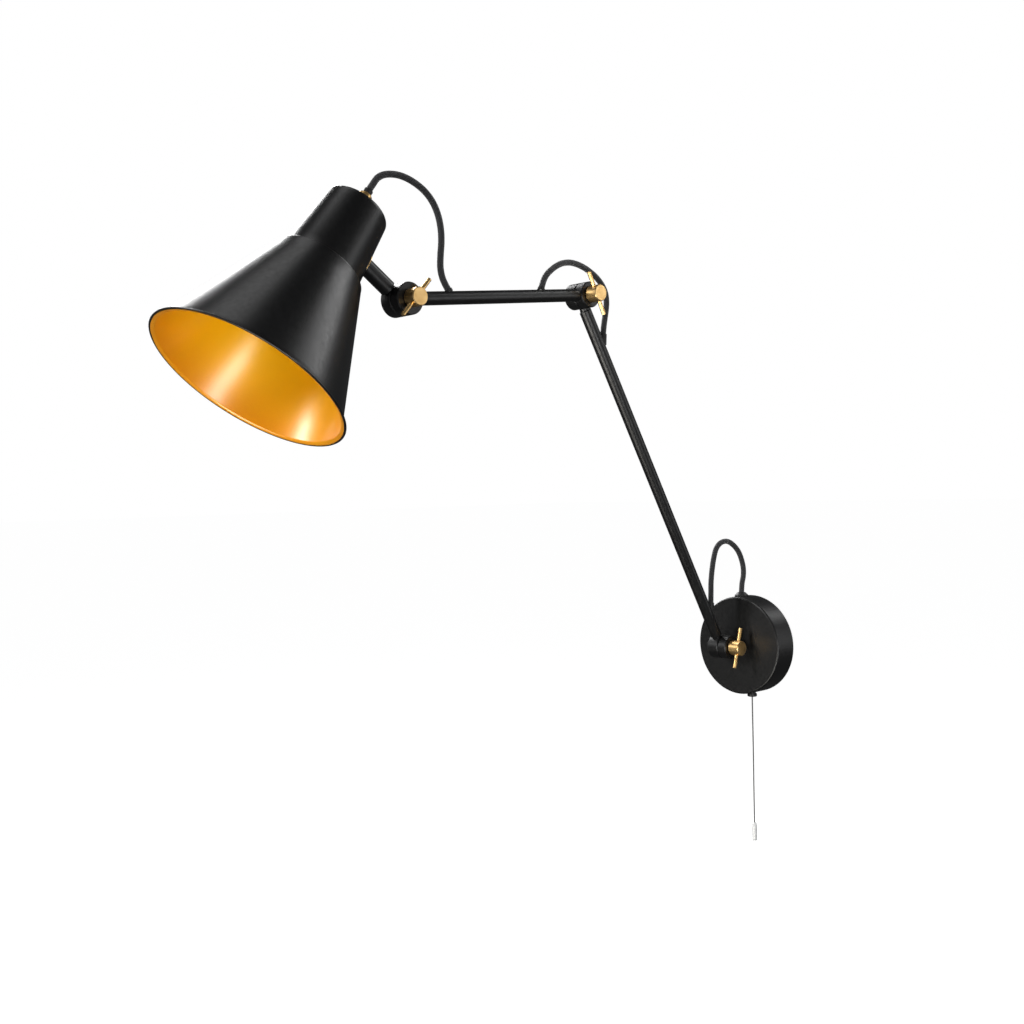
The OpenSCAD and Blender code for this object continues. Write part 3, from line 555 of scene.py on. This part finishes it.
FINISH = {
    BLACK: ["wall_cover", "cover_screw", "base_stem", "base_knuckle", "lower_arm_base_end", "lower_arm_tube",
            "lower_arm_elbow_end", "upper_arm_elbow_end", "upper_arm_tube", "upper_arm_head_end",
            "head_knuckle", "stub_tube"],
    BRASS: ["base_clamp_screw", "base_tommy_bar", "elbow_clamp_screw", "elbow_tommy_bar",
            "head_clamp_screw", "head_tommy_bar", "stub_saddle_washer", "stem_bush", "terminal_screws",
            "earth_nut"],
    BRASS_Z: ["cord_grip"],
    STEEL: ["wall_plate", "earth_stud", "stop_pins", "switch_spring", "stem_tab_washer",
            "stem_spring_washer", "stem_nut", "stub_lock_nut", "holder_nipple"],
    RUBBER: ["supply_grommet", "flex_relief", "lower_arm_sleeves", "upper_arm_sleeves"],
    PLASTIC: ["lampholder", "lampholder_ring", "flex_gland", "switch_body", "switch_nut",
              "base_friction_washer", "elbow_friction_washer", "head_friction_washer",
              "flex_in_box", "flex_in_head"],
    IVORY: ["terminal_block", "switch_plunger", "cores_in_lower_arm", "cores_in_upper_arm"],
    CERAMIC: ["lampholder_contacts"],
}
for material, names in FINISH.items():
    for name in names:
        slots = NODES[name].data.materials
        if len(slots) == 0:
            slots.append(material)
        for i in range(len(slots)):
            slots[i] = material

# ---- floor, light and world ----------------------------------------------------------------------

corners = [(x * FLOOR_HALF, y * FLOOR_HALF, FLOOR_Z) for x, y in ((-1, -1), (1, -1), (1, 1), (-1, 1))]
floor = add_piece("floor", corners, [(0, 1, 2, 3)], [])
paper = Mat("floor_paper", Roughness=0.9, Emission_Color=(1, 1, 1, 1), Emission_Strength=0.96)
cloud = paper.range(paper.noise(3, 2), 0.3, 0.7, 0, 1)
paper.to("Base Color", paper.mix(cloud, (0.5, 0.5, 0.5), (0.52, 0.52, 0.52)))
floor.data.materials.append(paper.mat)
floor.visible_diffuse = False
floor.visible_glossy = False


def softbox(name, at, aim, size, watts, colour=(1, 1, 1)):
    light = bpy.data.lights.new(name, "AREA")
    light.shape = "RECTANGLE"
    light.size, light.size_y = size
    light.energy = watts
    light.color = colour
    lamp = bpy.data.objects.new(name, light)
    scene.collection.objects.link(lamp)
    lamp.location = at
    lamp.rotation_mode = "QUATERNION"
    lamp.rotation_quaternion = (Vector(aim) - Vector(at)).to_track_quat("-Z", "Y")
    return lamp


softbox("left_box", (-1.75, 0.15, 1.1), (-0.01, -0.5, 0.32), (0.8, 1.2), 50)
softbox("back_box", (0.5, 0.95, 1.2), (0, -0.5, 0.38), (0.45, 0.8), 6)
softbox("knob_box", (1.55, 1.1, 0.3), (0, -0.3, 0.2), (0.9, 1.1), 6)
softbox("mouth_box_right", (1.5, -0.9, -0.2), (0, -0.6, 0.3), (0.35, 0.7), 12)
softbox("mouth_box_front", (-0.67, -1.8, 0.87), (0, -0.6, 0.28), (0.35, 0.7), 19)
softbox("top_box", (-0.2, -0.6, 2.0), (0, -0.35, 0.2), (0.8, 0.8), 3)
softbox("low_fill", (0.0, -1.35, -0.58), (-0.01, -0.58, 0.32), (0.9, 0.5), 14, (1, 0.97, 0.9))

world = bpy.data.worlds.new("studio")
scene.world = world
world.use_nodes = True
tree = world.node_tree
tree.nodes.clear()
seen = tree.nodes.new("ShaderNodeBackground")
seen.inputs["Color"].default_value = (1, 1, 1, 1)
seen.inputs["Strength"].default_value = 1.0
lit = tree.nodes.new("ShaderNodeBackground")
lit.inputs["Color"].default_value = (0.97, 0.98, 1, 1)
lit.inputs["Strength"].default_value = 0.06
path = tree.nodes.new("ShaderNodeLightPath")
pick = tree.nodes.new("ShaderNodeMixShader")
sky = tree.nodes.new("ShaderNodeOutputWorld")
tree.links.new(path.outputs["Is Camera Ray"], pick.inputs[0])
tree.links.new(lit.outputs[0], pick.inputs[1])
tree.links.new(seen.outputs[0], pick.inputs[2])
tree.links.new(pick.outputs[0], sky.inputs[0])
